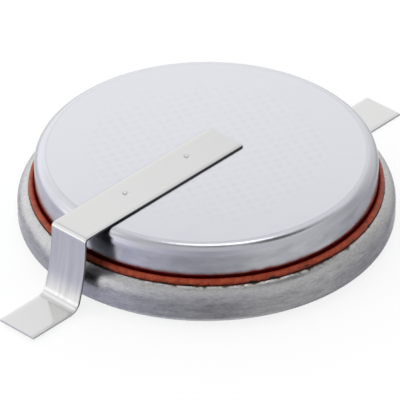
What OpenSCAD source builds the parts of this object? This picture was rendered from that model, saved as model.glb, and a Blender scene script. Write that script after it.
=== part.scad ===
// Lithium coin cell with a flat solder tab welded to each pole.
// The origin is on the cell's axis, at the underside of the positive tab that it lies on.
// The tabs run along X: the negative one down past the side at -X, the positive one out at +X.

/* [Cell] */
// Diameter over the can
cell_d = 24.5; // [20:0.1:30]
// Height from the can's floor to the cap's top
cell_h = 5; // [4.4:0.1:7]

/* [Positive can] */
// Thickness of the can's sheet
can_t = 0.25; // [0.2:0.01:0.3]
// Outer radius of the corner between the floor and the wall
can_corner_r = 0.6; // [0.4:0.05:0.9]
// Height above the floor at which the wall starts to curl in
crimp_z = 1.42; // [1.3:0.02:1.8]
// Outer radius of the curl
crimp_r = 1.1; // [1:0.05:1.2]
// Angle through which the wall curls in
crimp_a = 71.5; // [62:0.5:76]

/* [Negative cap] */
// Thickness of the cap's sheet
cap_t = 0.25; // [0.2:0.01:0.3]
// Outer radius of the corner between the top and the wall
cap_corner_r = 0.8; // [0.5:0.05:1]
// How far the rim stands out past the wall
shoulder_w = 0.525; // [0.45:0.005:0.6]
// Radius of the hollow where the wall turns out into the shoulder
hollow_r = 0.15; // [0.1:0.01:0.2]

/* [Sealing gasket] */
// Thickness between the can's wall and the cap's rim
gasket_t = 0.375; // [0.33:0.005:0.42]
// Thickness under the edge of the cap's rim
gasket_foot_t = 0.45; // [0.3:0.05:0.6]
// Width of the inner lip that grips the rim
gasket_lip_w = 0.35; // [0.2:0.05:0.5]
// Height of the inner lip above the edge of the rim
gasket_lip_h = 0.5; // [0.2:0.05:0.6]
// Height of the bead above the can's lip
bead_h = 0.39; // [0.3:0.01:0.5]

/* [Electrode stack] */
// Gap between the stack's side and what surrounds it
stack_gap = 0.25; // [0.1:0.05:0.6]
// Thickness of the separator
separator_t = 0.2; // [0.1:0.05:0.3]
// How far the separator's edge turns down over the collector ring
separator_skirt = 1.2; // [0.8:0.1:1.6]
// Thickness of the collector ring's sheet
ring_t = 0.2; // [0.1:0.05:0.3]
// How far the collector ring's wall stops below the pellet's top
ring_drop = 0.6; // [0.2:0.1:1]
// Width of the collector ring's foot under the pellet
ring_foot_w = 1.5; // [0.8:0.1:3]
// Thickness of the lithium disc
lithium_t = 1.1; // [0.6:0.1:1.2]
// How far the lithium disc stops short of the cap's corner
lithium_inset = 0.3; // [0.1:0.1:2]

/* [Tabs] */
// Width of both tabs
tab_w = 2.95; // [2:0.05:5]
// Thickness of both tabs
tab_t = 0.15; // [0.1:0.01:0.2]
// Distance from the cell's axis to the end of each tab
tab_reach = 17.5; // [17:0.1:24]
// How far each welded end runs past the axis
tab_past = 1.87; // [0.5:0.01:6]

/* [Negative tab's leg] */
// Gap between the can's side and the top of the leg
leg_gap = 0.33; // [0.2:0.01:0.8]
// Inner radius of the upper bend
top_bend_r = 0.15; // [0.1:0.01:0.3]
// Angle by which the leg leans out just under the upper bend
leg_lean = 1.5; // [0:0.5:8]
// Radius of the leg's slight outward bow
bow_r = 15; // [12:1:40]
// Inner radius of the bend between the leg and the foot
foot_bend_r = 0.7; // [0.3:0.05:1]
// Height of the foot's underside above the positive tab's underside
foot_lift = 0.2; // [0:0.05:0.5]

/* [Spot welds] */
// Distance from the cell's axis to the nearer weld of each tab
weld_x = 1.56; // [0.5:0.02:3]
// Distance between the two welds of a tab
weld_pitch = 5.7; // [3:0.1:6]
// How far the welds lie to the side of the tab's middle line
weld_side = 0.27; // [0:0.01:0.5]
// Diameter of the pit that a weld leaves
pit_d = 0.4; // [0.2:0.05:0.6]
// Depth of the pit
pit_depth = 0.07; // [0.03:0.01:0.09]

/* [Hidden] */
$fn = 96;

// Radii and heights of the can, from its floor's underside
cell_r = cell_d / 2;
can_in_r = cell_r - can_t;
can_floor_r = cell_r - can_corner_r;
curl = [cell_r - crimp_r, crimp_z];
lip_r = curl.x + crimp_r * cos(crimp_a);
lip_z = curl.y + crimp_r * sin(crimp_a);

// The cap's shoulder shares the curl's centre, one gasket further in
shoulder_r = crimp_r - can_t - gasket_t;
rim_r = curl.x + shoulder_r;
rim_z = can_t + gasket_foot_t;
cap_r = rim_r - shoulder_w;
cap_in_r = cap_r - cap_t;
cap_flat_r = cap_r - cap_corner_r;

// The hollow's arc touches the shoulder's arc, which fixes its height and the angle of both turns
hollow_x = cap_r + hollow_r;
hollow_z = curl.y + sqrt(pow(shoulder_r + hollow_r, 2) - pow(hollow_x - curl.x, 2));
turn_a = atan2(hollow_z - curl.y, hollow_x - curl.x);
turn_z = curl.y + (shoulder_r - cap_t / 2) * sin(turn_a);

// The gasket's bead is as wide as the mouth between the can's lip and the cap's wall
gasket_in_r = rim_r - cap_t - gasket_lip_w;
bead_r = (lip_r - cap_r) / 2;
bead_z = lip_z + bead_h - bead_r;

// Radii and heights of the electrode stack
stack_r = min(gasket_in_r, cap_in_r) - stack_gap;
ring_r = stack_r - separator_t;
pellet_r = ring_r - ring_t;
pellet_top = cell_h - cap_t - lithium_t - separator_t;

// The negative tab's middle line: the strip, the upper bend, the bowed leg, the lower bend and the foot
strip_z = tab_t + cell_h + tab_t / 2;
foot_z = foot_lift + tab_t / 2;
top_bend = top_bend_r + tab_t / 2;
bow = bow_r + tab_t / 2;
foot_bend = foot_bend_r + tab_t / 2;
strip_end = cell_r + leg_gap - top_bend_r;
leg_drop = strip_z - foot_z - top_bend * (1 - sin(leg_lean)) - foot_bend;
foot_lean = asin((leg_drop + bow * sin(leg_lean)) / (bow - foot_bend));
foot_start = strip_end + top_bend * cos(leg_lean)
    + bow * (cos(leg_lean) - cos(foot_lean)) + foot_bend * cos(foot_lean);

// A weld's pit is the cap of a sphere of this radius
pit_r = (pow(pit_d / 2, 2) + pow(pit_depth, 2)) / (2 * pit_depth);

// Sector of a ring about a point, between two angles at most a right angle apart
module sector(centre, r_in, r_out, from, to) {
    reach = 2 * r_out;
    translate(centre) intersection() {
        difference() {
            circle(r = r_out);
            if (r_in > 0) circle(r = r_in);
        }
        polygon([[0, 0], for (a = [from, (from + to) / 2, to]) reach * [cos(a), sin(a)]]);
    }
}

// Rectangle between two corners of a section
module block(low, high) {
    translate(low) square(high - low);
}

// A section turned about the cell's axis, resting on the positive tab
module turned() {
    translate([0, 0, tab_t]) rotate_extrude() children();
}

module can_section() {
    block([0, 0], [can_floor_r, can_t]);
    sector([can_floor_r, can_corner_r], can_corner_r - can_t, can_corner_r, 270, 360);
    block([can_in_r, can_corner_r], [cell_r, curl.y]);
    sector(curl, crimp_r - can_t, crimp_r, 0, crimp_a);
}

// Space inside the can, below its curl
module can_pocket() {
    block([0, can_t], [can_floor_r, can_corner_r]);
    sector([can_floor_r, can_corner_r], 0, can_corner_r - can_t, 270, 360);
    block([0, can_corner_r], [can_in_r, curl.y]);
}

module cap_section() {
    block([0, cell_h - cap_t], [cap_flat_r, cell_h]);
    sector([cap_flat_r, cell_h - cap_corner_r], cap_corner_r - cap_t, cap_corner_r, 0, 90);
    block([cap_in_r, hollow_z], [cap_r, cell_h - cap_corner_r]);
    sector([hollow_x, hollow_z], hollow_r, hollow_r + cap_t, 180, 180 + turn_a);
    sector(curl, shoulder_r - cap_t, shoulder_r, 0, turn_a);
    block([rim_r - cap_t, rim_z], [rim_r, curl.y]);
}

// The gasket fills what the crimp leaves between the can and the cap
module gasket_section() {
    difference() {
        union() {
            intersection() {
                can_pocket();
                union() {
                    block([gasket_in_r, 0], [rim_r - cap_t / 2, rim_z + gasket_lip_h]);
                    block([rim_r - cap_t / 2, 0], [can_in_r, curl.y]);
                }
            }
            sector(curl, shoulder_r, crimp_r - can_t, 0, crimp_a);
            block([cap_r, turn_z], [lip_r, bead_z]);
            translate([cap_r + bead_r, bead_z]) circle(r = bead_r);
        }
        can_section();
        cap_section();
    }
}

module ring_section() {
    block([pellet_r - ring_foot_w, can_t], [ring_r, can_t + ring_t]);
    block([pellet_r, can_t], [ring_r, pellet_top - ring_drop]);
}

module positive_can() {
    color([0.64, 0.65, 0.69]) turned() can_section();
}

module negative_cap() {
    color([0.86, 0.87, 0.89]) turned() cap_section();
}

module sealing_gasket() {
    color([0.5, 0.2, 0.15]) turned() gasket_section();
}

module collector_ring() {
    color([0.6, 0.6, 0.62]) turned() ring_section();
}

// The pellet stands on the can's floor inside the collector ring
module cathode_pellet() {
    color([0.16, 0.15, 0.15]) turned() difference() {
        block([0, can_t], [pellet_r, pellet_top]);
        ring_section();
    }
}

module separator() {
    color([0.93, 0.92, 0.88]) turned() {
        block([0, pellet_top], [stack_r, pellet_top + separator_t]);
        block([ring_r, pellet_top - separator_skirt], [stack_r, pellet_top + separator_t]);
    }
}

module lithium_anode() {
    color([0.75, 0.76, 0.78]) turned()
        block([0, cell_h - cap_t - lithium_t], [cap_flat_r - lithium_inset, cell_h - cap_t]);
}

// Pits of one tab's two welds, sunk from above into a face at height 0
module weld_pits() {
    for (i = [0, 1])
        translate([weld_x + i * weld_pitch, weld_side, pit_r - pit_depth]) sphere(r = pit_r);
}

// Side view of the negative tab, drawn towards +X and as one sheet thick
module tab_section() {
    block([-tab_past, strip_z - tab_t / 2], [strip_end, strip_z + tab_t / 2]);
    sector([strip_end, strip_z - top_bend], top_bend_r, top_bend_r + tab_t, leg_lean, 90);
    leg_top = [strip_end + top_bend * cos(leg_lean), strip_z - top_bend * (1 - sin(leg_lean))];
    sector(leg_top + bow * [cos(leg_lean), sin(leg_lean)], bow_r, bow_r + tab_t,
        180 + leg_lean, 180 + foot_lean);
    sector([foot_start, foot_z + foot_bend], foot_bend_r, foot_bend_r + tab_t,
        180 + foot_lean, 270);
    block([foot_start, foot_z - tab_t / 2], [tab_reach, foot_z + tab_t / 2]);
}

module negative_tab() {
    color([0.85, 0.85, 0.84]) mirror([1, 0, 0]) difference() {
        rotate([90, 0, 0]) linear_extrude(tab_w, center = true) tab_section();
        translate([0, 0, strip_z + tab_t / 2]) weld_pits();
    }
}

module positive_tab() {
    color([0.85, 0.85, 0.84]) difference() {
        translate([-tab_past, -tab_w / 2, 0]) cube([tab_past + tab_reach, tab_w, tab_t]);
        rotate([180, 0, 0]) weld_pits();
    }
}

positive_can();
negative_cap();
sealing_gasket();
collector_ring();
cathode_pellet();
separator();
lithium_anode();
negative_tab();
positive_tab();
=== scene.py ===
# %% [markdown]
# A lithium coin cell lies on its positive side, with a flat solder tab welded to each pole.
# The solids that carry the sizes are already made. This lesson gives them their looks in Blender:
# turned surfaces for the pressed metal, a bent strip for each tab, and a finish for each material.
# The first step loads the solids as a fixed frame, in metres, and notes the box that they fill.

# %% Load the frame
import math

import bmesh
import bpy
import numpy as np
from mathutils import Matrix, Vector


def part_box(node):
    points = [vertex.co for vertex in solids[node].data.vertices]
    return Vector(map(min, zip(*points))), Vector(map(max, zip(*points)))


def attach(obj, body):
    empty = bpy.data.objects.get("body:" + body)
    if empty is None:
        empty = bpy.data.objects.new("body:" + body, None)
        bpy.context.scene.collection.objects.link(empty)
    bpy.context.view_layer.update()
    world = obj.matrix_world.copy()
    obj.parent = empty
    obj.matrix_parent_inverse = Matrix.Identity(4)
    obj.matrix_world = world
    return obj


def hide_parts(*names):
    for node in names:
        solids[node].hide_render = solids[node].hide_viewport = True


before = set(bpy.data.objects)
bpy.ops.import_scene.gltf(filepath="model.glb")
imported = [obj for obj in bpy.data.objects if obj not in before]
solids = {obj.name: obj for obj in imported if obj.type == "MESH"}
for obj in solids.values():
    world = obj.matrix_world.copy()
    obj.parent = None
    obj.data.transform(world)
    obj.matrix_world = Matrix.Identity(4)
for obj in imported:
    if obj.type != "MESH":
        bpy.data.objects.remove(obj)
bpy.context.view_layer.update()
for plain in list(bpy.data.materials):  # the solids' flat colours make way for the finishes below
    bpy.data.materials.remove(plain)
print("solids:", ", ".join(sorted(solids)))

# %% [markdown]
# Every length below is in millimetres, as on the drawing of a cell, and MM turns it into Blender's
# metres when a mesh is made. What a solid's box can tell is measured from it, so that the pieces made
# here sit exactly where the solids do.

# %% Sizes read from the solids
MM = 0.001


def reach(node):
    """Lowest and highest corner of a solid's box, in millimetres."""
    low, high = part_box(node)
    return np.array(low) / MM, np.array(high) / MM


can_low, can_high = reach("positive_can")
cap_low, cap_high = reach("negative_cap")
gasket_high = reach("sealing_gasket")[1]
tab_low = reach("negative_tab")[0]
strip_low, strip_high = reach("positive_tab")

floor_z = can_low[2]  # the can's underside, on the top of the positive tab
top_z = cap_high[2]
cell_r = can_high[0]
sheet = cell_r - gasket_high[0]  # thickness of the can's sheet, and of the cap's
rim_r, rim_z = cap_high[0], cap_low[2]
tab_t = strip_high[2]
tab_w = 2 * strip_high[1]
print(f"can radius {cell_r:.2f}, sheet {sheet:.2f}, cap top at {top_z:.2f} mm")
print(f"tabs {tab_w:.2f} mm wide and {tab_t:.2f} mm thick")

# %% [markdown]
# The camera stands where the photographer's stood. Its lens is long, so lines that are parallel on the
# cell stay nearly parallel in the picture. It is turned about the cell's axis until the negative tab
# points to the lower left, and it looks down by 34 degrees. All this was found by matching the
# outlines of the can, the cap and both tabs. A camera looks along its own -Z, so its matrix holds the
# directions of right, up and back.

# %% Camera at the photograph's angle
image_w = 400  # pixels across the picture, which is square
sensor_w = 36.0
focal_pixels = 4621.3
camera_distance = 300.0
camera_azimuth = math.radians(-46.92)
camera_elevation = math.radians(34.325)
camera_roll = math.radians(-0.357)
aim_right, aim_down = 0.43, 0.927  # how far the cell's axis lies off the picture's middle

up = Vector((0, 0, 1))
across = Vector((math.cos(camera_azimuth), math.sin(camera_azimuth), 0))
away = Vector((-math.sin(camera_azimuth), math.cos(camera_azimuth), 0))
look = away * math.cos(camera_elevation) - up * math.sin(camera_elevation)
down = -away * math.sin(camera_elevation) - up * math.cos(camera_elevation)
right_turned = across * math.cos(camera_roll) - down * math.sin(camera_roll)
down_turned = across * math.sin(camera_roll) + down * math.cos(camera_roll)
stand = up * floor_z - right_turned * aim_right - down_turned * aim_down - look * camera_distance
scene = bpy.context.scene


def new_object(name, data):
    """A new object in the scene."""
    thing = bpy.data.objects.new(name, data)
    scene.collection.objects.link(thing)
    return thing


camera_data = bpy.data.cameras.new("photo_camera")
camera_data.sensor_width = sensor_w
camera_data.lens = focal_pixels / image_w * sensor_w
camera_data.clip_start, camera_data.clip_end = 0.01, 10
camera = new_object("photo_camera", camera_data)
turn = Matrix((right_turned, -down_turned, -look)).transposed().to_4x4()
camera.matrix_world = Matrix.Translation(stand * MM) @ turn
scene.camera = camera
scene.view_settings.view_transform = "Standard"
print(f"lens {camera_data.lens:.0f} mm, {stand.length:.0f} mm from the cell")

# %% [markdown]
# Room and finishes are both made of nodes. A node tree can be clicked together by hand, but a script
# is easier to read and change. These helpers keep it short. One adds a node and fills its inputs, and
# the others do sums and carry one range of values over to another.

# %% Helpers for node trees
def put(tree, socket, value):
    """Links an input to another node's output, or else gives it a fixed value."""
    if isinstance(value, bpy.types.NodeSocket):
        tree.links.new(value, socket)
    else:
        socket.default_value = value


def add(tree, kind, inputs=None, **settings):
    """Adds a node, sets its settings, and fills its inputs, which are named or numbered."""
    node = tree.nodes.new(kind)
    for name, value in settings.items():
        setattr(node, name, value)
    for name, value in (inputs or {}).items():
        put(tree, node.inputs[name], value)
    return node


def maths(tree, operation, *values):
    """One sum of a Math node, such as the larger of two outputs."""
    return add(tree, "ShaderNodeMath", dict(enumerate(values)), operation=operation).outputs[0]


def product(tree, first, *others):
    """Values multiplied together."""
    for other in others:
        first = maths(tree, "MULTIPLY", first, other)
    return first


def scaled(tree, vector, share):
    """A vector or a colour times a share."""
    inputs = {"Vector": vector, "Scale": share}
    return add(tree, "ShaderNodeVectorMath", inputs, operation="SCALE").outputs[0]


def dot(tree, vector, direction):
    """How far a vector goes along a direction: the sum of the products of their parts."""
    node = add(tree, "ShaderNodeVectorMath", {0: vector, 1: direction}, operation="DOT_PRODUCT")
    return node.outputs["Value"]


def spread(tree, value, from_low, from_high, to_low=0.0, to_high=1.0, smooth=False):
    """Carries one range of values over to another, from 0 to 1 if none is given, and stops at its ends."""
    kind = "SMOOTHSTEP" if smooth else "LINEAR"
    ends = {"Value": value, "From Min": from_low, "From Max": from_high, "To Min": to_low, "To Max": to_high}
    return add(tree, "ShaderNodeMapRange", ends, interpolation_type=kind).outputs[0]


# %% [markdown]
# Colours come into a tree in two ways. A ramp holds a whole line of them, and a Mix node blends two by
# a share, which can be a fixed number or another node's output.

# %% Helpers for colours
def colour_ramp(tree, value, stops):
    """Colours along a line: the stops are pairs of a place from 0 to 1 and a colour."""
    node = add(tree, "ShaderNodeValToRGB", {"Fac": value})
    marks = node.color_ramp.elements
    while len(marks) < len(stops):
        marks.new(1.0)
    for mark, (at, colour) in zip(marks, stops):
        mark.position, mark.color = at, (*colour, 1)
    return node.outputs["Color"]


def blend_colours(tree, share, first, second):
    """Blend of two colours: the first at share 0, the second at share 1."""
    node = add(tree, "ShaderNodeMix", {"Factor": share}, data_type="RGBA")
    slots = [socket for socket in node.inputs if socket.type == "RGBA"]
    for socket, colour in zip(slots, (first, second)):
        put(tree, socket, colour if isinstance(colour, bpy.types.NodeSocket) else (*colour, 1))
    return next(socket for socket in node.outputs if socket.type == "RGBA")


# %% [markdown]
# Bright metal has hardly a colour of its own: it shows the room. The rounded edge of the cap mirrors
# all of it in a band a millimetre wide, so the photograph can be read like a fish-eye picture of
# its studio. A few lamps would leave the rest of that mirror black, so the room is painted instead, in
# the world that surrounds everything. A direction in it is told by its angle from straight up and by a
# compass angle, with 0 towards the camera and the right-hand side positive.

# %% Directions in the room
world = bpy.data.worlds.new("studio")
scene.world = world
world.use_nodes = True
tree = world.node_tree
tree.nodes.clear()
ray = add(tree, "ShaderNodeTexCoord").outputs["Generated"]


def heading(zenith, compass):
    """The compass way times the sine of the angle from straight up, plus up times its cosine."""
    from_up, round_up = math.radians(zenith), math.radians(compass)
    level_way = across * math.sin(round_up) - away * math.cos(round_up)
    return level_way * math.sin(from_up) + up * math.cos(from_up)


def grey(level, blue=1.0):
    """A grey, made bluer where blue is more than 1."""
    return (level, level, level * blue)


def paint_round(compass, marks):
    """Colours round the compass: each mark is a level and a blueness, at even steps from -180 to 180."""
    stops = [(i / (len(marks) - 1), grey(*mark)) for i, mark in enumerate(marks)]
    return colour_ramp(tree, maths(tree, "MULTIPLY_ADD", compass, 0.5 / math.pi, 0.5), stops)


print("compass 0 points along", [round(part, 3) for part in heading(90, 0)])

# %% [markdown]
# The room is white behind the cell and to its left, greyer on the right, and dim and a little blue on
# the camera's side. One ring of colours paints the walls, and a dimmer and bluer one paints what lies
# lower than the table. The ceiling is an even grey that falls off towards the camera. Round soft sheets
# go over that: bright ones behind, at the left and under the table, and dark ones high up.

# %% Walls, ceiling and sheets
compass = maths(tree, "ARCTAN2", dot(tree, ray, across), dot(tree, ray, -away))
rise = dot(tree, ray, up)  # 1 straight up, 0 level, and -1 straight down
walls = paint_round(compass, [
    (1.1, 1.0), (1.12, 1.03), (0.95, 1.04), (1.0, 1.05), (0.6, 1.12), (0.38, 1.12), (0.6, 1.03),
    (0.57, 1.0), (0.43, 1.05), (0.72, 1.0), (1.1, 1.0),
])
lower_walls = paint_round(compass, [
    (0.75, 1.05), (0.6, 1.1), (0.52, 1.17), (0.65, 1.28), (0.36, 1.2), (0.18, 1.15), (0.46, 1.0),
    (0.54, 1.0), (0.3, 1.12), (0.34, 1.12), (0.75, 1.05),
])
below_table = spread(tree, rise, 0.1, -0.3, smooth=True)
room = blend_colours(tree, below_table, walls, lower_walls)
dim_side = heading(90, -30)
ceiling_level = spread(tree, dot(tree, ray, dim_side), -0.4, 0.2, 0.83, 0.59)
ceiling_tint = (1, 1, 1.03)
on_ceiling = spread(tree, rise, 0.55, 0.7, smooth=True)
room = blend_colours(tree, on_ceiling, room, scaled(tree, ceiling_tint, ceiling_level))
light_sheets = [  # zenith and compass angle, angles where it is full and where it ends, level
    (180, 0, 8, 25, 0.9),
    (124, 180, 9, 24, 1.14),
    (82, -80, 13, 24, 1.4),
    (44, -105, 8, 20, 1.2),
    (50, -135, 9, 20, 0.96),
    (95, -162, 4, 14, 0.85),
    (38, 104, 5, 19, 0.5),
    (27, 77, 6, 17, 0.1),
    (15, -65, 3, 10, 0.42),
    (8, 10, 2, 12, 0.2),
]
for zenith, bearing, inner, outer, brightness in light_sheets:
    soft_edge = [math.cos(math.radians(angle)) for angle in (outer, inner)]
    share = spread(tree, dot(tree, ray, heading(zenith, bearing)), *soft_edge, smooth=True)
    room = blend_colours(tree, share, room, grey(brightness))
backdrop = add(tree, "ShaderNodeBackground", {"Color": room})
add(tree, "ShaderNodeOutputWorld", {"Surface": backdrop.outputs[0]})
print(f"the room: walls, ceiling and {len(light_sheets)} sheets, in {len(tree.nodes)} nodes")

# %% [markdown]
# One oval soft lamp hangs almost overhead, leaning back a little. In the cap's rounded edge it shows
# as the thin white line along the front. Its power follows from its size and the brightness wanted:
# a lamp of brightness L and area A gives pi times L times A. Its matrix holds its own three
# directions: wide, deep, and the way that its back faces.

# %% Lamp overhead
lamp_distance = 900.0
lamp_half_angles = (13.5, 8.5)  # across the camera's line of sight, and along it
lamp_brightness = 1.18
lamp_way = heading(10, 158)
lamp_x = (across - lamp_way * across.dot(lamp_way)).normalized()
lamp_wide, lamp_deep = (2 * lamp_distance * math.tan(math.radians(half)) * MM for half in lamp_half_angles)
lamp_area = math.pi * lamp_wide * lamp_deep / 4
lamp_data = bpy.data.lights.new("oval_lamp", "AREA")
lamp_data.shape = "ELLIPSE"
lamp_data.size, lamp_data.size_y = lamp_wide, lamp_deep
lamp_data.energy = math.pi * lamp_brightness * lamp_area
lamp = new_object("oval_lamp", lamp_data)
lamp_turn = Matrix((lamp_x, lamp_way.cross(lamp_x), lamp_way)).transposed().to_4x4()
lamp.matrix_world = Matrix.Translation(lamp_way * lamp_distance * MM) @ lamp_turn
print(f"lamp {lamp_wide:.2f} by {lamp_deep:.2f} m, {lamp_data.energy:.1f} W")

# %% [markdown]
# The cell stands on a pane of milky glass. Most of the white is the lit sheet that shows through it
# from below and behind. The milkiness itself catches the lamp, so the cell still leaves a soft
# shadow. A plain white floor would brighten the can's wall, which mirrors what lies before it.

# %% Floor
floor_half = 500.0
milk = 0.3  # share of the glass that scatters light
milk_white = (0.95, 0.95, 0.95, 1)
pane = bpy.data.materials.new("milky_glass")
pane.use_nodes = True
tree = pane.node_tree
tree.nodes.clear()
clear_glass = add(tree, "ShaderNodeBsdfTransparent")
white_glass = add(tree, "ShaderNodeBsdfDiffuse", {"Color": milk_white})
glass = add(tree, "ShaderNodeMixShader", {0: milk, 1: clear_glass.outputs[0], 2: white_glass.outputs[0]})
add(tree, "ShaderNodeOutputMaterial", {"Surface": glass.outputs[0]})
corners = np.array([(-1, -1, 0), (1, -1, 0), (1, 1, 0), (-1, 1, 0)]) * floor_half * MM
floor_mesh = bpy.data.meshes.new("glass_floor")
floor_mesh.from_pydata(corners.tolist(), [], [(0, 1, 2, 3)])
floor_mesh.materials.append(pane)
glass_floor = new_object("glass_floor", floor_mesh)
glass_floor.visible_shadow = False  # the pane lets the light from below reach the cell
print(f"floor {2 * floor_half * MM:.1f} m wide")

# %% [markdown]
# The finishes come before the shapes, so that each piece can be given its own as it is made. Each is a
# small node tree on Object coordinates, turned from metres into millimetres, so that a pattern
# keeps its real size. Photographs of metal could be wrapped round the pieces, but noise made by nodes
# never repeats and needs no file. The helpers start a finish, make noise on it, and use a height to
# tilt its light.

# %% Helpers for finishes
def vector_maths(tree, operation, *values):
    """One sum of a Vector Math node that gives a vector."""
    return add(tree, "ShaderNodeVectorMath", dict(enumerate(values)), operation=operation).outputs[0]


def start_finish(name, colour, roughness, metallic=1.0):
    """A new material with its tree, its shader and its place in millimetres."""
    material = bpy.data.materials.new(name)
    material.use_nodes = True
    tree = material.node_tree
    shader = tree.nodes["Principled BSDF"]
    for name, value in (("Base Color", (*colour, 1)), ("Roughness", roughness), ("Metallic", metallic)):
        put(tree, shader.inputs[name], value)
    metres = add(tree, "ShaderNodeTexCoord").outputs["Object"]
    return material, tree, shader, vector_maths(tree, "MULTIPLY", metres, (1 / MM, 1 / MM, 1 / MM))


def noise(tree, place, scale, detail=3.0, stretch=(1, 1, 1)):
    """Noise with about so many bumps to the millimetre, drawn out along an axis whose stretch is small."""
    drawn_out = vector_maths(tree, "MULTIPLY", place, stretch)
    inputs = {"Vector": drawn_out, "Scale": scale, "Detail": detail}
    return add(tree, "ShaderNodeTexNoise", inputs).outputs["Fac"]


def vary(tree, value, low=0.0, high=1.0):
    """Spreads noise, most of which lies between 0.3 and 0.7, over a range."""
    return spread(tree, value, 0.3, 0.7, low, high)


def tilt(tree, shader, height, depth):
    """Tilts the light as a relief would whose height map of 1 stands so many millimetres high."""
    bump = add(tree, "ShaderNodeBump", {"Height": height, "Distance": depth * MM})
    put(tree, shader.inputs["Normal"], bump.outputs[0])


# %% [markdown]
# Painted shade darkens nooks, which an Ambient Occlusion node finds by how much of the sky a place sees.
# Stains and painted shade also keep to a height or to a distance from the cell's axis, and one side of the
# rim is dirtier and more shaded than the other.

# %% Helpers for dirt and painted shade
nook_openness = (0.35, 0.9)  # share of the sky that a place sees: in a nook, and outside it


def nook_shade(tree, distance, deepest):
    """Share of colour that painted shade leaves: 1 in the open, and the deepest where surfaces stand close.
    """
    openness = add(tree, "ShaderNodeAmbientOcclusion", {"Distance": distance * MM}, samples=8).outputs["AO"]
    return spread(tree, openness, *nook_openness, deepest, 1.0)


def xyz(tree, vector):
    """The three parts of a vector."""
    return add(tree, "ShaderNodeSeparateXYZ", {0: vector}).outputs


def from_axis(tree, place):
    """Distance of a place from the cell's axis, the root of x squared plus y squared, and its height."""
    parts = xyz(tree, place)
    squares = [product(tree, parts[i], parts[i]) for i in (0, 1)]
    return maths(tree, "SQRT", maths(tree, "ADD", *squares)), parts[2]


dirt_and_shade_side = math.radians(-114.92)  # the rim's dirtier and more shaded side, counted from +X


def towards_dirt_and_shade(tree, place):
    """How far a place lies towards the rim's dirtier and more shaded side, over the cell's radius: from -1
    to 1.
    """
    way = (math.cos(dirt_and_shade_side) / cell_r, math.sin(dirt_and_shade_side) / cell_r, 0)
    return dot(tree, place, way)


print(f"the rim's dirtier side is at {math.degrees(dirt_and_shade_side):.0f} degrees")

# %% [markdown]
# Stains and painted shade follow shapes: they gather at the can's lip, on the gasket's bead and at the foot
# of the cap's wall. So the sizes that place those come first, and the shapes use the same ones later. The
# can's rim curls in over the gasket as an arc, and the end of that arc is the lip. The cap's wall stands
# inside it, and the bead fills the mouth between the two.

# %% Sizes of the pressed parts
can_corner_r = 0.6  # rounded edge of the can's floor
curl_r = 1.1  # the rim's arc, which starts curl_rise above the underside
curl_rise = 1.42
curl_angle = 71.5  # degrees from the arc's start to its end
cap_corner_r = 0.8  # rounded edge of the cap's top
shoulder_step = 0.525  # from the cap's wall out to its rim


def on_circle(centre, radius, degrees):
    """Points of a circle: the centre plus the radius times cosine and sine of the degrees."""
    angle = np.radians(degrees)
    return np.array(centre) + radius * np.stack([np.cos(angle), np.sin(angle)], axis=-1)


curl_at = np.array([cell_r - curl_r, floor_z + curl_rise])
lip_at = on_circle(curl_at, curl_r, curl_angle)
lip_z = lip_at[1]
cap_r = rim_r - shoulder_step
flat_r = cap_r - cap_corner_r
bead_r = (lip_at[0] - cap_r) / 2
bead_at = np.array([cap_r + bead_r, gasket_high[2] - bead_r])
bead_z = bead_at[1]
grime_and_shade_z = lip_z - 0.013  # grime, and on the bead painted shade, sit from here up, just below the lip's edge
print(f"lip {lip_z:.2f} mm up, cap radius {cap_r:.2f}, its flat {flat_r:.2f}, bead radius {bead_r:.2f} mm")

# %% [markdown]
# The cap is bright pressed steel. Its top carries a faint grid of dimples from the press, turned a little
# off the line of the tabs, that fades before the rounded edge. They are thousandths of a millimetre
# deep, so a height map does better than a mesh. The product of two waves at right angles makes the grid,
# and a mask of radius and height keeps it on the top. The top is also crowned by a hair, so its grey
# shifts slowly from back to front.

# %% Dimples of the cap
cap_steel, tree, shader, place = start_finish("cap_steel", (0.69, 0.695, 0.735), 0.2)
dimple_pitch = 0.71
dimple_turn = math.radians(23)
dimple_r = flat_r - 1.6  # radius at which the grid has faded out
dimple_fade = 1.5
crown_height = -0.55  # fall of the height map at 1 mm from the axis
relief_depth = 0.003
turned_place = add(tree, "ShaderNodeVectorRotate", {"Vector": place, "Angle": dimple_turn},
                   rotation_type="Z_AXIS").outputs[0]
parts = xyz(tree, turned_place)
phases = [product(tree, parts[i], 2 * math.pi / dimple_pitch) for i in (0, 1)]
humps = [maths(tree, "MULTIPLY_ADD", maths(tree, "COSINE", phase), 0.5, 0.5) for phase in phases]
radius, height = from_axis(tree, place)
on_top = maths(tree, "GREATER_THAN", height, top_z - 0.05)
inside = spread(tree, radius, dimple_r - dimple_fade, dimple_r, 1.0, 0.0)
pressed = vary(tree, noise(tree, place, 0.5), 0.4, 1.0)
mask = product(tree, inside, on_top, pressed)
dots = product(tree, *humps, mask)
crown = product(tree, radius, radius, crown_height)
grain = noise(tree, place, 6.0)
tilt(tree, shader, maths(tree, "ADD", crown, maths(tree, "ADD", dots, grain)), relief_depth)
print(f"dimples {dimple_pitch:.2f} mm apart, gone {dimple_r:.1f} mm from the axis")
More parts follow.
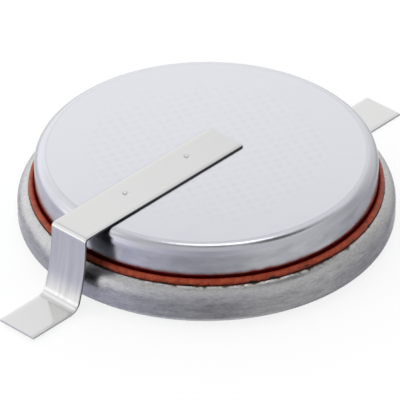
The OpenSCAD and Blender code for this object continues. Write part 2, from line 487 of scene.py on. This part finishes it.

# %% [markdown]
# The steel itself is a little cloudy, and a shade darker in the dimples. The wall has a wiped haze, and a
# fine line marks where the flat top ends. Painted shade darkens the nooks, and a painted red-brown
# reflection and shade of the dark groove lies on the foot of the wall. Each is one more blend over the last,
# from the metal outwards.

# %% Steel of the cap
steel_low, steel_high = (0.66, 0.667, 0.71), (0.705, 0.71, 0.75)
wiped_low, wiped_high = (0.6, 0.61, 0.66), (0.82, 0.83, 0.86)
groove_reflection_brown = (0.24, 0.024, 0.012)
groove_reflection_z = (gasket_high[2] + 0.057, gasket_high[2] + 0.457)  # from all painted reflection of the groove to plain wall
haze_z = (top_z - cap_corner_r, top_z - cap_corner_r / 2)  # from hazy wall to clear edge
edge_line_r, edge_line_w, edge_line_dark = flat_r + 0.03, 0.06, 0.065
cloud = noise(tree, place, 0.8, detail=5.0, stretch=(1, 1, 2))
put(tree, shader.inputs["Roughness"], vary(tree, cloud, 0.16, 0.22))
shade = maths(tree, "MULTIPLY_ADD", dots, -0.6, vary(tree, cloud, 0.5, 1.0))
steel = blend_colours(tree, shade, steel_low, steel_high)
haze = vary(tree, noise(tree, place, 0.7, detail=5.0, stretch=(1, 1, 2.5)))
on_wall = spread(tree, height, *haze_z, 1.0, 0.0)
steel = blend_colours(tree, on_wall, steel, blend_colours(tree, haze, wiped_low, wiped_high))
# painted shade in nooks: under the strip and by the groove
steel = scaled(tree, steel, nook_shade(tree, 0.4, 0.1))
edge_line = maths(tree, "COMPARE", radius, edge_line_r, edge_line_w)
steel = scaled(tree, steel, maths(tree, "MULTIPLY_ADD", edge_line, -edge_line_dark, 1.0))
# painted reflection and shade of the dark groove, red-brown, on the foot of the wall, with a wobbly edge
reflection_wobble = vary(tree, noise(tree, place, 1.3, detail=4.0), -0.06, 0.06)
unmarked_share = spread(tree, maths(tree, "ADD", height, reflection_wobble), *groove_reflection_z, smooth=True)
put(tree, shader.inputs["Base Color"], blend_colours(tree, unmarked_share, groove_reflection_brown, steel))
print(f"pitch up to {groove_reflection_z[1]:.2f} mm on the cap's wall, line {edge_line_r:.2f} mm from the axis")

# %% [markdown]
# The can is the duller of the two: nickel-plated steel that was drawn, tumbled with thousands of others
# and then wiped by the crimping die. That leaves a mottled skin whose marks run round the wall, and a
# brighter band where the die burnished the curl. The noise is squeezed along the height, so its marks
# are longer round the wall than up it.

# %% Skin of the can
can_steel, tree, shader, place = start_finish("can_steel", (0.52, 0.52, 0.53), 0.42)
worn_low, worn_high = (0.41, 0.41, 0.43), (0.63, 0.63, 0.63)
burnished_low, burnished_high = (0.53, 0.525, 0.52), (0.7, 0.695, 0.685)
burnish_z = (curl_at[1] + 0.13, curl_at[1] + 0.73)  # from worn to burnished
skin_depth = 0.014
mottle = noise(tree, place, 0.9, detail=6.0, stretch=(1, 1, 5))
speckle = noise(tree, place, 4.0, detail=5.0, stretch=(1, 1, 4))
worn = maths(tree, "MULTIPLY_ADD", speckle, 0.5, product(tree, mottle, 0.5))
steel = blend_colours(tree, spread(tree, worn, 0.37, 0.63), worn_low, worn_high)
bright = blend_colours(tree, vary(tree, speckle), burnished_low, burnished_high)
height = xyz(tree, place)[2]
wiped = maths(tree, "ADD", height, vary(tree, mottle, -0.25, 0.25))
burnish = spread(tree, wiped, *burnish_z, smooth=True)
steel = blend_colours(tree, burnish, steel, bright)
put(tree, shader.inputs["Roughness"], vary(tree, mottle, 0.24, 0.36))
off_floor = spread(tree, height, floor_z, floor_z + 0.4, 0.15, 1.0)  # the underside is smoother
tilt(tree, shader, product(tree, worn, off_floor), skin_depth)
print(f"the can is fully burnished from {burnish_z[1]:.2f} mm up")

# %% [markdown]
# Grime sits in a thin uneven line on the can's lip, first brown and then almost black. Raising the
# height that is read makes the line wider, so a little noise frays it, and the rim's dirtier side
# gets more. Painted shade darkens the lip's nooks, more on that side.

# %% Grime and painted shade on the can's lip
grime_brown, grime_black = (0.26, 0.19, 0.12), (0.05, 0.045, 0.04)
brown_z, black_z = (grime_and_shade_z - 0.04, grime_and_shade_z + 0.08), (grime_and_shade_z, grime_and_shade_z + 0.06)  # from none to full
dirt_and_shade_ward = towards_dirt_and_shade(tree, place)
frayed = maths(tree, "ADD", height, vary(tree, noise(tree, place, 2.0, detail=4.0), -0.05, 0.05))
frayed = maths(tree, "ADD", frayed, spread(tree, dirt_and_shade_ward, -0.4, 0.4, -0.05, -0.02))
frayed = maths(tree, "ADD", frayed, spread(tree, dirt_and_shade_ward, 0.6, 0.9, 0.0, 0.07, smooth=True))
steel = blend_colours(tree, spread(tree, frayed, *brown_z), steel, grime_brown)
steel = blend_colours(tree, spread(tree, frayed, *black_z), steel, grime_black)
least = spread(tree, dirt_and_shade_ward, -0.4, 0.2, 0.85, 0.4)  # the painted nook shade is lighter on the cleaner side
lip_nook_shade = maths(tree, "MAXIMUM", nook_shade(tree, 0.3, 0.4), least)
put(tree, shader.inputs["Base Color"], scaled(tree, steel, lip_nook_shade))
print(f"grime from {brown_z[0]:.2f} mm up, and black above {black_z[1]:.2f} mm")

# %% [markdown]
# The gasket is red-brown moulded plastic with a soft gloss. Painted shade darkens the groove where it meets
# the cap, with an uneven edge that reaches onto the bead, and the bead's lower side towards the can's lip,
# more on the rim's dirtier side. Black specks gather along the lip. Where the bent tab passes close over the
# ring, and a little to both sides, a painted shadow darkens it.

# %% Finish of the gasket
gasket_plastic, tree, shader, place = start_finish("gasket_plastic", (0.33, 0.05, 0.02), 0.35, metallic=0.0)
red_low, red_high = (0.33, 0.04, 0.013), (0.6, 0.104, 0.035)
# painted shade: on the bead's lower side towards the lip, and in the groove at the cap's wall; the specks
# are black
bead_shade_red, groove_shade_red, speck_black = (0.12, 0.012, 0.005), (0.32, 0.014, 0.004), (0.02, 0.015, 0.01)
bead_shade_z, speck_fade_z = (grime_and_shade_z, grime_and_shade_z + 0.22), (grime_and_shade_z + 0.02, grime_and_shade_z + 0.26)
speck_level = (0.66, 0.7)  # only the peaks of the noise turn black
groove_shade_r = (cap_r + 0.06, cap_r + 0.28)
tab_shade, shade_left_y, shade_right_y = 0.38, (-2.8, -1.3), (0.5, 1.8)  # painted shadow next to the bent tab
radius, height = from_axis(tree, place)
cleaner_and_lighter = spread(tree, towards_dirt_and_shade(tree, place), -0.6, 0.2, 1.0, 0.0, smooth=True)
blotch = vary(tree, noise(tree, place, 2.4))
red = blend_colours(tree, blotch, red_low, red_high)
# painted shade on the bead's lower side, towards the can's lip
frayed = maths(tree, "ADD", height, vary(tree, noise(tree, place, 4.0, detail=4.0), -0.08, 0.08))
frayed = maths(tree, "MULTIPLY_ADD", cleaner_and_lighter, 0.12, frayed)
red = blend_colours(tree, spread(tree, frayed, *bead_shade_z, smooth=True), bead_shade_red, red)
near_lip = spread(tree, height, *speck_fade_z, 1.0, 0.0)
near_lip = product(tree, near_lip, spread(tree, cleaner_and_lighter, 0.0, 1.0, 1.0, 0.3))
specks = maths(tree, "MULTIPLY_ADD", near_lip, 0.16, noise(tree, place, 1.1, detail=5.0, stretch=(1, 1, 3)))
red = blend_colours(tree, spread(tree, specks, *speck_level), red, speck_black)
# painted shade in the groove at the cap's wall
wobbly_radius = maths(tree, "ADD", radius, vary(tree, noise(tree, place, 1.6), -0.03, 0.03))
red = blend_colours(tree, spread(tree, wobbly_radius, *groove_shade_r, smooth=True), groove_shade_red, red)
parts = xyz(tree, place)
# painted shadow of the bent tab on the ring
left_light = spread(tree, parts[1], *shade_left_y, 1.0, tab_shade, smooth=True)
right_light = spread(tree, parts[1], *shade_right_y, tab_shade, 1.0, smooth=True)
tab_light = maths(tree, "MAXIMUM", left_light, right_light)
tab_light = maths(tree, "MAXIMUM", tab_light, spread(tree, parts[0], -1.0, 0.0))
put(tree, shader.inputs["Base Color"], scaled(tree, red, tab_light))
shader.inputs["Specular IOR Level"].default_value = 0.3
tilt(tree, shader, noise(tree, place, 8.0), 0.03)
print(f"pitch on the gasket fades from {groove_shade_r[0]:.2f} to {groove_shade_r[1]:.2f} mm from the axis")

# %% [markdown]
# The tabs are nickel strip. Rolling leaves fine marks along a strip, so the noise is drawn out along the
# length and the height, and stays tight across the width, which lies along Y. The marks are stronger on
# the upright leg, where the bending tool dragged along it. Both tabs share this finish, so masks tell
# the parts apart: what is lifted off the board, and what of that stands upright.

# %% Rolled nickel of the tabs
tab_nickel, tree, shader, place = start_finish("tab_nickel", (0.75, 0.75, 0.74), 0.22)
nickel_low, nickel_high = (0.666, 0.666, 0.66), (0.688, 0.688, 0.682)
lifted_z, leg_end_z = (0.5, 0.7), (top_z - 0.4, top_z - 0.2)
streaks = noise(tree, place, 6.0, detail=5.0, stretch=(0.04, 1, 0.04))
parts = xyz(tree, place)
lifted = spread(tree, parts[2], *lifted_z)
upright = product(tree, lifted, spread(tree, parts[2], *leg_end_z, 1.0, 0.0))
nickel = blend_colours(tree, vary(tree, streaks), nickel_low, nickel_high)
dragged = vary(tree, noise(tree, place, 4.0, detail=6.0, stretch=(0.05, 1, 0.05)), -0.11, 0.08)
nickel = scaled(tree, nickel, maths(tree, "MULTIPLY_ADD", upright, dragged, 1.0))
print(f"rolled nickel, {nickel_low[0]:.3f} to {nickel_high[0]:.3f} bright")

# %% [markdown]
# The welds leave small dull spots. Those of the negative tab lie half a turn round the axis from those of
# the positive one, so a place high up is turned back before its distance to a weld is taken, and one
# loop serves both tabs. The strip on the cap also springs up by a hair towards its tip, which
# shifts its grey: the height map gets a share of the distance squared.

# %% Welds and relief of the tabs
weld_x, weld_pitch, weld_side = 1.56, 5.7, 0.27  # from the axis, between the two, off the midline
weld_mark_r = 0.14
weld_grey = (0.58, 0.57, 0.56)
between_tabs_z = (1.0, 1.2)
spring_from, spring_height = -10.0, 0.41
rolled_depth = 0.004
low_painted_sheen = 0.03  # painted sheen: what lies near the board is brighter by this
half_turn = spread(tree, parts[2], *between_tabs_z, 1.0, -1.0)
flat_place = vector_maths(tree, "MULTIPLY", scaled(tree, place, half_turn), (1, 1, 0))
unmarked_share = 1.0
for weld_at in (weld_x, weld_x + weld_pitch):
    from_weld = add(tree, "ShaderNodeVectorMath", {0: flat_place, 1: (weld_at, -weld_side, 0)},
                    operation="DISTANCE").outputs["Value"]
    unmarked = spread(tree, from_weld, weld_mark_r * 0.4, weld_mark_r * 1.1)
    unmarked_share = product(tree, unmarked_share, unmarked)
nickel = blend_colours(tree, unmarked_share, weld_grey, nickel)
nickel = scaled(tree, nickel, maths(tree, "MULTIPLY_ADD", lifted, -low_painted_sheen, 1 + low_painted_sheen))
on_strip = maths(tree, "MAXIMUM", maths(tree, "SUBTRACT", parts[0], spring_from), 0.0)
sprung = product(tree, on_strip, lifted)
sprung = product(tree, sprung, sprung, spring_height)
marks = product(tree, streaks, spread(tree, upright, 0.0, 1.0, 0.5, 1.0))
tilt(tree, shader, maths(tree, "ADD", marks, sprung), rolled_depth)
print(f"welds {weld_x:.2f} and {weld_x + weld_pitch:.2f} mm from the axis")

# %% [markdown]
# The slitting knife leaves the two long edges rough. Painted shade makes the lifted tab's edges darker than
# those of
# the tab on the board: grey on the leg, darkest where the strip leaves the cap, over the rounded edge, and
# paler towards the tip. Painted shade also darkens the back of the lifted tab and its nooks. The face's own
# direction tells back from front, because the back looks inwards and down. The knife marks are as wide as
# the edge's rounding, which the strip's shape uses again.

# %% Edges, back and painted shade of the tabs
edge_r = 0.02
back_way = (0.7, 0, -0.7)
back_shade_grey = (0.13, 0.13, 0.137)
# painted shade: the lifted tab's edges are darker than those on the board, darkest at the bend
low_edge, leg_edge = (0.76, 0.76, 0.77), (0.4, 0.4, 0.41)
bend_edge, tip_edge = (0.1, 0.1, 0.105), (0.62, 0.62, 0.63)
paler_x, leg_x = (-9.5, -5.5), (-12.0, -11.5)
knife_rough, weld_rough = 0.25, 0.3  # added to the roughness there
cut_y = (tab_w / 2 - edge_r, tab_w / 2 - 0.4 * edge_r)
cut = spread(tree, maths(tree, "ABSOLUTE", parts[1]), *cut_y)
lifted_edge = blend_colours(tree, spread(tree, parts[0], *paler_x), bend_edge, tip_edge)
lifted_edge = blend_colours(tree, spread(tree, parts[0], *leg_x, 1.0, 0.0), lifted_edge, leg_edge)
nickel = blend_colours(tree, cut, nickel, blend_colours(tree, lifted, low_edge, lifted_edge))
facing = add(tree, "ShaderNodeTexCoord").outputs["Normal"]
# painted shade on the lifted tab's back, and in its nooks
back = spread(tree, dot(tree, facing, back_way), -0.2, 0.3)
nickel = blend_colours(tree, product(tree, back, lifted), nickel, back_shade_grey)
tab_nook_shade = maths(tree, "MAXIMUM", nook_shade(tree, 0.4, 0.1), maths(tree, "SUBTRACT", 1.0, lifted))
put(tree, shader.inputs["Base Color"], scaled(tree, nickel, tab_nook_shade))
rough = maths(tree, "MULTIPLY_ADD", cut, knife_rough, vary(tree, streaks, 0.1, 0.17))
rough = maths(tree, "ADD", rough, spread(tree, unmarked_share, 0.0, 1.0, weld_rough, 0.0))
put(tree, shader.inputs["Roughness"], rough)
print(f"knife marks from {cut_y[0]:.2f} mm off the midline, {len(tree.nodes)} nodes in the tabs' finish")

# %% [markdown]
# The electrodes are sealed inside, where no light reaches. Each of their solids still gets the finish of
# its material, so that the part also looks right in a cut-away: a steel ring, a matt black pellet of
# pressed powder, a white felt separator and a dull grey lithium disc.

# %% Finishes inside the cell
inner_finishes = {  # node: name, colour, roughness, metallic; noise; depth
    "collector_ring": (("ring_steel", (0.55, 0.55, 0.57), 0.3, 1.0), (8.0,), 0.005),
    "cathode_pellet": (("pellet_black", (0.02, 0.018, 0.018), 0.9, 0.0), (12.0, 6.0), 0.04),
    "separator": (("separator_fibre", (0.84, 0.82, 0.76), 0.85, 0.0), (20.0, 6.0, (1, 3, 1)), 0.02),
    "lithium_anode": (("lithium_metal", (0.6, 0.61, 0.63), 0.45, 1.0), (3.0,), 0.02),
}
finishes = {
    "positive_can": can_steel, "negative_cap": cap_steel, "sealing_gasket": gasket_plastic,
    "negative_tab": tab_nickel, "positive_tab": tab_nickel,
}
for node, (finish, grain, depth) in inner_finishes.items():
    finishes[node], tree, shader, place = start_finish(*finish)
    tilt(tree, shader, noise(tree, place, *grain), depth)
for node, material in finishes.items():
    solids[node].data.materials.clear()
    solids[node].data.materials.append(material)
print("finishes:", ", ".join(material.name for material in bpy.data.materials))

# %% [markdown]
# Everything that is pressed or moulded round is a turned surface: a section drawn as distance from the
# axis and height, carried once round. Blender's Spin tool could do it, but a grid of points
# keeps the seam closed by itself. The section is made of arcs and straight runs. An arc's last number
# is its count of points, and a straight run gets a point close to each of its ends, so that the smooth
# shading of an arc doesn't bleed into the flat.

# %% Sections and turned surfaces
def arc(centre, radius, start, end, count):
    """Points of an arc, at evenly spaced degrees of its circle."""
    return on_circle(centre, radius, np.linspace(start, end, count))


def run(*corners, edge=0.015):
    """Points of straight runs from corner to corner, with one more point close to each end of each."""
    runs = []
    for start, end in zip(np.array(corners, float), np.array(corners[1:], float)):
        share = min(0.3, edge / max(np.linalg.norm(end - start), edge))
        runs.append(start + np.outer([0, share, 0.5, 1 - share, 1], end - start))
    return np.vstack(runs)


def section(*parts):
    """Joins arcs and runs end to end, and drops a point where one starts as the last one ended."""
    points = np.vstack(parts)
    step = np.linalg.norm(np.diff(points, axis=0, prepend=points[-1:]), axis=1)
    return points[step > 1e-6]


def grid_faces(rows, columns, close_rows):
    """Corner numbers of a grid's cells: its columns run round and close, and its rows can too."""
    last = rows if close_rows else rows - 1
    row, column = np.meshgrid(np.arange(last), np.arange(columns), indexing="ij")
    next_row, next_column = (row + 1) % rows, (column + 1) % columns
    cells = [row * columns + column, row * columns + next_column,
             next_row * columns + next_column, next_row * columns + column]
    return np.stack(cells, axis=-1).reshape(-1, 4).tolist()


def turned_points(points, turns):
    """Each point (r, z) of a section goes round the axis as (r cos t, r sin t, z)."""
    angle = np.linspace(0, 2 * np.pi, turns, endpoint=False)
    r, z = points[:, :1], points[:, 1:]
    return np.stack([r * np.cos(angle), r * np.sin(angle), z + 0 * angle], axis=-1).reshape(-1, 3)


print("a run from 0 to 1 has points at", run((0, 0), (1, 0))[:, 0].round(3))

# %% [markdown]
# Every surface becomes a piece in one place. Points that fall together, as they do where a section
# touches the axis, are merged, and the faces are turned outwards. Shading is smooth, apart from creases
# sharper than a given angle.

# %% From surface to piece
def make_piece(name, points, faces, material, node, crease=32):
    """Puts a surface into a mesh, merges its poles, turns its faces outwards and hangs it on the frame."""
    mesh = bpy.data.meshes.new(name)
    mesh.from_pydata((points * MM).tolist(), [], faces)
    mend = bmesh.new()
    mend.from_mesh(mesh)
    bmesh.ops.remove_doubles(mend, verts=mend.verts, dist=1e-7)
    bmesh.ops.recalc_face_normals(mend, faces=mend.faces)
    mend.to_mesh(mesh)
    mend.free()
    mesh.shade_smooth()
    mesh.set_sharp_from_angle(angle=math.radians(crease))
    mesh.materials.append(material)
    piece = new_object(name, mesh)
    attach(piece, "root")
    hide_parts(node)
    low, high = points.min(0).round(3), points.max(0).round(3)
    print(f"{name}: {len(mesh.polygons)} faces, from {low} to {high} mm")


# %% [markdown]
# The can is drawn from one sheet: a flat floor, a rounded corner, a short wall, and a curl that is
# crimped inwards over the gasket. It could be a cylinder with a thickness added by a modifier, but then
# the crimp would need shaping by hand. Here its outside and its inside are the same arcs, one sheet
# apart. The cut edge of the sheet, the lip, is a little rounded, because the die wipes over it.

# %% Can
turns = 256
lip_round = 0.05
floor_r = cell_r - can_corner_r
can_in_r = cell_r - sheet
corner_at = np.array([floor_r, floor_z + can_corner_r])


def lip_corner(radius, side):
    """Small arc that rounds an edge of the lip; side is 1 on the curl's outside and -1 on its inside."""
    from_centre = radius - side * lip_round
    lean = curl_angle - math.degrees(math.asin(lip_round / from_centre))
    centre = on_circle(curl_at, from_centre, lean)
    if side > 0:
        return arc(centre, lip_round, lean, curl_angle + 90, 7)
    return arc(centre, lip_round, curl_angle + 90, lean + 180, 7)


outer_lip, inner_lip = lip_corner(curl_r, 1), lip_corner(curl_r - sheet, -1)
outer_end = math.degrees(math.atan2(*(outer_lip[0] - curl_at)[::-1]))
inner_end = math.degrees(math.atan2(*(inner_lip[-1] - curl_at)[::-1]))
can_section = section(
    run((0, floor_z), (floor_r, floor_z)),
    arc(corner_at, can_corner_r, -90, 0, 13),
    run((cell_r, corner_at[1]), (cell_r, curl_at[1])),
    arc(curl_at, curl_r, 0, outer_end, 25),
    outer_lip,
    inner_lip,
    arc(curl_at, curl_r - sheet, inner_end, 0, 21),
    run((can_in_r, curl_at[1]), (can_in_r, corner_at[1])),
    arc(corner_at, can_corner_r - sheet, 0, -90, 9),
    run((floor_r, floor_z + sheet), (0, floor_z + sheet)),
)
faces = grid_faces(len(can_section), turns, close_rows=False)
make_piece("can_shell", turned_points(can_section, turns), faces, can_steel, "positive_can")

# %% [markdown]
# The cap is a shallow cup turned upside down. Its wall comes down into a small hollow and turns out into
# a shoulder, which lies under the can's curl with the gasket between them, and ends in a straight rim.
# The hollow and the shoulder are two arcs that touch, so the line through their centres gives the
# angle at which one takes over from the other.

# %% Cap
hollow_r = 0.15
shoulder_r = rim_r - curl_at[0]
cap_in_r = cap_r - sheet
cap_corner_at = np.array([flat_r, top_z - cap_corner_r])
hollow_x = cap_r + hollow_r
hollow_rise = math.sqrt((shoulder_r + hollow_r) ** 2 - (hollow_x - curl_at[0]) ** 2)
hollow_at = np.array([hollow_x, curl_at[1] + hollow_rise])
take_over = math.degrees(math.atan2(hollow_rise, hollow_x - curl_at[0]))
rim_in_r = rim_r - sheet
outer_shoulder = [  # the gasket's section follows the same line
    arc(hollow_at, hollow_r, 180, 180 + take_over, 11),
    arc(curl_at, shoulder_r, take_over, 0, 17),
    run((rim_r, curl_at[1]), (rim_r, rim_z), (rim_in_r, rim_z)),
]
cap_section = section(
    run((0, top_z), (flat_r, top_z)),
    arc(cap_corner_at, cap_corner_r, 90, 0, 25),
    run((cap_r, cap_corner_at[1]), (cap_r, hollow_at[1])),
    *outer_shoulder,
    run((rim_in_r, rim_z), (rim_in_r, curl_at[1])),
    arc(curl_at, shoulder_r - sheet, 0, take_over, 11),
    arc(hollow_at, hollow_r + sheet, 180 + take_over, 180, 15),
    run((cap_in_r, hollow_at[1]), (cap_in_r, cap_corner_at[1])),
    arc(cap_corner_at, cap_corner_r - sheet, 0, 90, 17),
    run((flat_r, top_z - sheet), (0, top_z - sheet)),
)
faces = grid_faces(len(cap_section), turns, close_rows=False)
make_piece("cap_shell", turned_points(cap_section, turns), faces, cap_steel, "negative_cap")

# %% [markdown]
# The gasket fills the room between the two. Where the crimp squeezes it out of the mouth it forms a
# bead, and that is never quite even. Its section follows the solid's, and the bead then sinks by up
# to a few hundredths of a millimetre in places round the ring: a sum of sines with whole numbers of
# waves, so that the ring still closes.

# %% Gasket
gasket_turns = 512
gasket_lip_w, gasket_lip_h = 0.35, 0.5  # the lip that stands inside the cap's rim
bead_swell = 0.02
bead_waves = (3, 11, 29, 61, 97)  # round the ring
gasket_in_r = rim_in_r - gasket_lip_w
inner_lip_z = rim_z + gasket_lip_h
lip_in_at = on_circle(curl_at, curl_r - sheet, curl_angle)


def ripple(angle, waves):
    """Uneven line from -1 to 1: a sum of sines, each with its whole number of waves and its share."""
    shares = 1 / np.sqrt(np.arange(1, len(waves) + 1))
    sines = [share * np.sin(wave * angle + wave * wave) for wave, share in zip(waves, shares)]
    return np.sum(sines, axis=0) / shares.sum()


gasket_section = section(
    run(lip_at, (lip_at[0], bead_z)),
    arc(bead_at, bead_r, 0, 180, 17),
    run((cap_r, bead_z), (cap_r, hollow_at[1])),
    *outer_shoulder,
    run((rim_in_r, rim_z), (rim_in_r, inner_lip_z), (gasket_in_r, inner_lip_z),
        (gasket_in_r, floor_z + sheet), (floor_r, floor_z + sheet)),
    arc(corner_at, can_corner_r - sheet, -90, 0, 9),
    run((can_in_r, corner_at[1]), (can_in_r, curl_at[1])),
    arc(curl_at, curl_r - sheet, 0, curl_angle, 21),
    run(lip_in_at, lip_at),
)
gasket_points = turned_points(gasket_section, gasket_turns)
angle = np.arctan2(gasket_points[:, 1], gasket_points[:, 0])
bead_share = np.clip((gasket_points[:, 2] - bead_z) / bead_r, 0, 1)
gasket_points[:, 2] += bead_share * bead_swell * (ripple(angle, bead_waves) - 1)
faces = grid_faces(len(gasket_section), gasket_turns, close_rows=True)
make_piece("gasket_ring", gasket_points, faces, gasket_plastic, "sealing_gasket")

# %% [markdown]
# A tab is a strip of nickel, cut from a coil, with flat faces and slightly rounded edges. Its
# section is kept as a core of points with a direction for each, and the core plus the edge's radius
# times the direction gives the skin. Towards the strip's ends that radius runs out in a quarter
# circle, which rounds the ends too.

# %% Section of a tab
fine_step, fine_count = 0.04, 10  # the steps of a finer stretch, and how many to each side


def close_steps(low, high, coarse, fine_at):
    """Places from low to high, coarse apart, with a finer stretch round each of some places."""
    close = np.arange(-fine_count, fine_count + 1) * fine_step
    fine = np.concatenate([at + close for at in fine_at])
    rough = np.linspace(low, high, 1 + round((high - low) / coarse))
    apart = np.abs(rough[:, None] - fine[None]).min(axis=1) > 0.75 * fine_step
    return np.sort(np.concatenate([rough[apart], fine[(fine > low) & (fine < high)]]))


def tab_section():
    """The section's core (sideways, through) and its directions, once round from the free face's left."""
    half_w, half_t = tab_w / 2 - edge_r, tab_t / 2 - edge_r
    flat = close_steps(-half_w, half_w, 0.3, [weld_side])
    quarter = -22.5 * np.arange(4)
    same, four = np.ones(len(flat)), np.ones(4)
    degrees = [90 * same, 67.5 + quarter, quarter, -90 * same, quarter - 112.5, 180 + quarter]
    sideways = [flat, half_w * four, half_w * four, flat[::-1], -half_w * four, -half_w * four]
    through = [same, four, -four, -same, -four, four]
    core = np.column_stack([np.concatenate(sideways), np.concatenate(through) * half_t])
    return core, on_circle((0, 0), 1, np.concatenate(degrees))


print(f"{len(tab_section()[0])} points once round a tab")

# %% [markdown]
# The section travels along the line that the strip is bent to, square to it at every station. A curve
# with a bevel could carry it too, but not the pits: each tab is joined by two spot welds, and
# the electrodes leave a small round pit at each. The faces there are finer, and the free face
# sinks by a paraboloid inside the pit, with a shallow dish round it where the sheet was drawn in.

# %% Strips
pit_r, pit_depth = 0.2, 0.07
dish_r, dish_depth = 0.4, 0.006
end_angles = [0, 25, 50, 70, 90]  # stations in a strip's rounded end
tab_past, tab_reach = -strip_low[0], strip_high[0]  # from the axis to the welded end, and to the other


def bend_strip(name, line, outward, node):
    """Carries the section along a line of (x, z), where outward is -1 or 1 along X, and sinks the pits."""
    core, way = tab_section()
    ahead = np.gradient(line, axis=0)
    ahead /= np.linalg.norm(ahead, axis=1, keepdims=True)
    free = np.column_stack([-outward * ahead[:, 1], outward * ahead[:, 0]]) * -outward
    gone = np.concatenate([[0], np.cumsum(np.linalg.norm(np.diff(line, axis=0), axis=1))])
    grow = np.clip(np.minimum(gone, gone[-1] - gone) / edge_r, 0, 1)
    radius = edge_r * np.sqrt(1 - (1 - grow) ** 2)
    skin = core[None] + radius[:, None, None] * way[None]
    side = -outward
    y = side * skin[..., 0]
    welds = [(outward * (weld_x + i * weld_pitch), side * weld_side) for i in (0, 1)]
    from_weld = np.min([np.hypot(line[:, :1] - x, y - v) for x, v in welds], axis=0)
    pit = pit_depth * np.clip(1 - (from_weld / pit_r) ** 2, 0, 1)
    dish = dish_depth * np.clip(1 - (from_weld / dish_r) ** 2, 0, 1) ** 2
    on_free_face = way[:, 1] > 0.99
    through = skin[..., 1] - (pit + dish) * on_free_face
    points = np.stack([line[:, :1] + through * free[:, :1], y, line[:, 1:] + through * free[:, 1:]], axis=-1)
    rows, columns = len(line), len(core)
    faces = grid_faces(rows, columns, close_rows=False)
    faces += [list(range(columns)), list(range((rows - 1) * columns, rows * columns))]
    make_piece(name, points.reshape(-1, 3), faces, tab_nickel, node)


def end_steps(length):
    """Places along a strip, close together within an edge's radius of both ends and at the welds."""
    tip = edge_r * (1 - np.cos(np.radians(end_angles)))
    fine_at = [tab_past + weld_x, tab_past + weld_x + weld_pitch]
    middle = close_steps(edge_r * 1.5, length - edge_r * 1.5, 0.5, fine_at)
    return np.concatenate([tip, middle, length - tip[::-1]])


print(f"pits {2 * pit_r:.1f} mm wide and {pit_depth:.2f} mm deep")

# %% [markdown]
# The positive tab is the plain one: a straight strip, welded under the can and sticking out behind.
# It starts a little past the cell's middle, and both of its ends are read from the solid.

# %% Positive tab
places = end_steps(tab_past + tab_reach)
line = np.column_stack([places - tab_past, np.full_like(places, tab_t / 2)])
bend_strip("positive_strip", line, 1, "positive_tab")

# %% [markdown]
# The negative tab is bent twice. From its welds on the cap it runs out just past the can's side, turns
# sharply down, bows slightly outwards on its way, and turns out again into the foot. Each bend is an arc
# that touches the next, so the tab's height fixes how far the leg leans when it meets the foot.

# %% Negative tab
leg_gap = 0.33  # from the can's side to the leg
top_bend_in_r, bow_in_r, foot_bend_in_r = 0.15, 15, 0.7  # radii on the inside of each bend
leg_lean = math.radians(1.5)
board_steps = 8  # stations of the flat foot

top_bend, bow, foot_bend = (inside_r + tab_t / 2 for inside_r in (top_bend_in_r, bow_in_r, foot_bend_in_r))
strip_z = top_z + tab_t / 2
foot_z = tab_low[2] + tab_t / 2
strip_end = cell_r + leg_gap - top_bend_in_r
bend_drop = top_bend * (1 - math.sin(leg_lean))
leg_drop = strip_z - foot_z - bend_drop - foot_bend
foot_lean = math.asin((leg_drop + bow * math.sin(leg_lean)) / (bow - foot_bend))
leg_top = np.array([strip_end + top_bend * math.cos(leg_lean), strip_z - bend_drop])
bow_at = leg_top + bow * np.array([math.cos(leg_lean), math.sin(leg_lean)])
foot_start = bow_at[0] - (bow - foot_bend) * math.cos(foot_lean)
lean_degrees, foot_degrees = math.degrees(leg_lean), math.degrees(foot_lean)
on_cap = end_steps(tab_past + strip_end)[:-len(end_angles)] - tab_past
on_board = end_steps(tab_reach - foot_start)[-board_steps:] + foot_start
line = section(
    np.column_stack([on_cap, np.full_like(on_cap, strip_z)]),
    arc((strip_end, strip_z - top_bend), top_bend, 90, lean_degrees, 13),
    arc(bow_at, bow, 180 + lean_degrees, 180 + foot_degrees, 17),
    arc((foot_start, foot_z + foot_bend), foot_bend, 180 + foot_degrees, 270, 17),
    np.column_stack([on_board, np.full_like(on_board, foot_z)]),
)
line[:, 0] *= -1
print(f"the leg leans {foot_degrees:.1f} degrees where it meets the foot, {foot_start:.2f} mm out")
bend_strip("negative_strip", line, -1, "negative_tab")
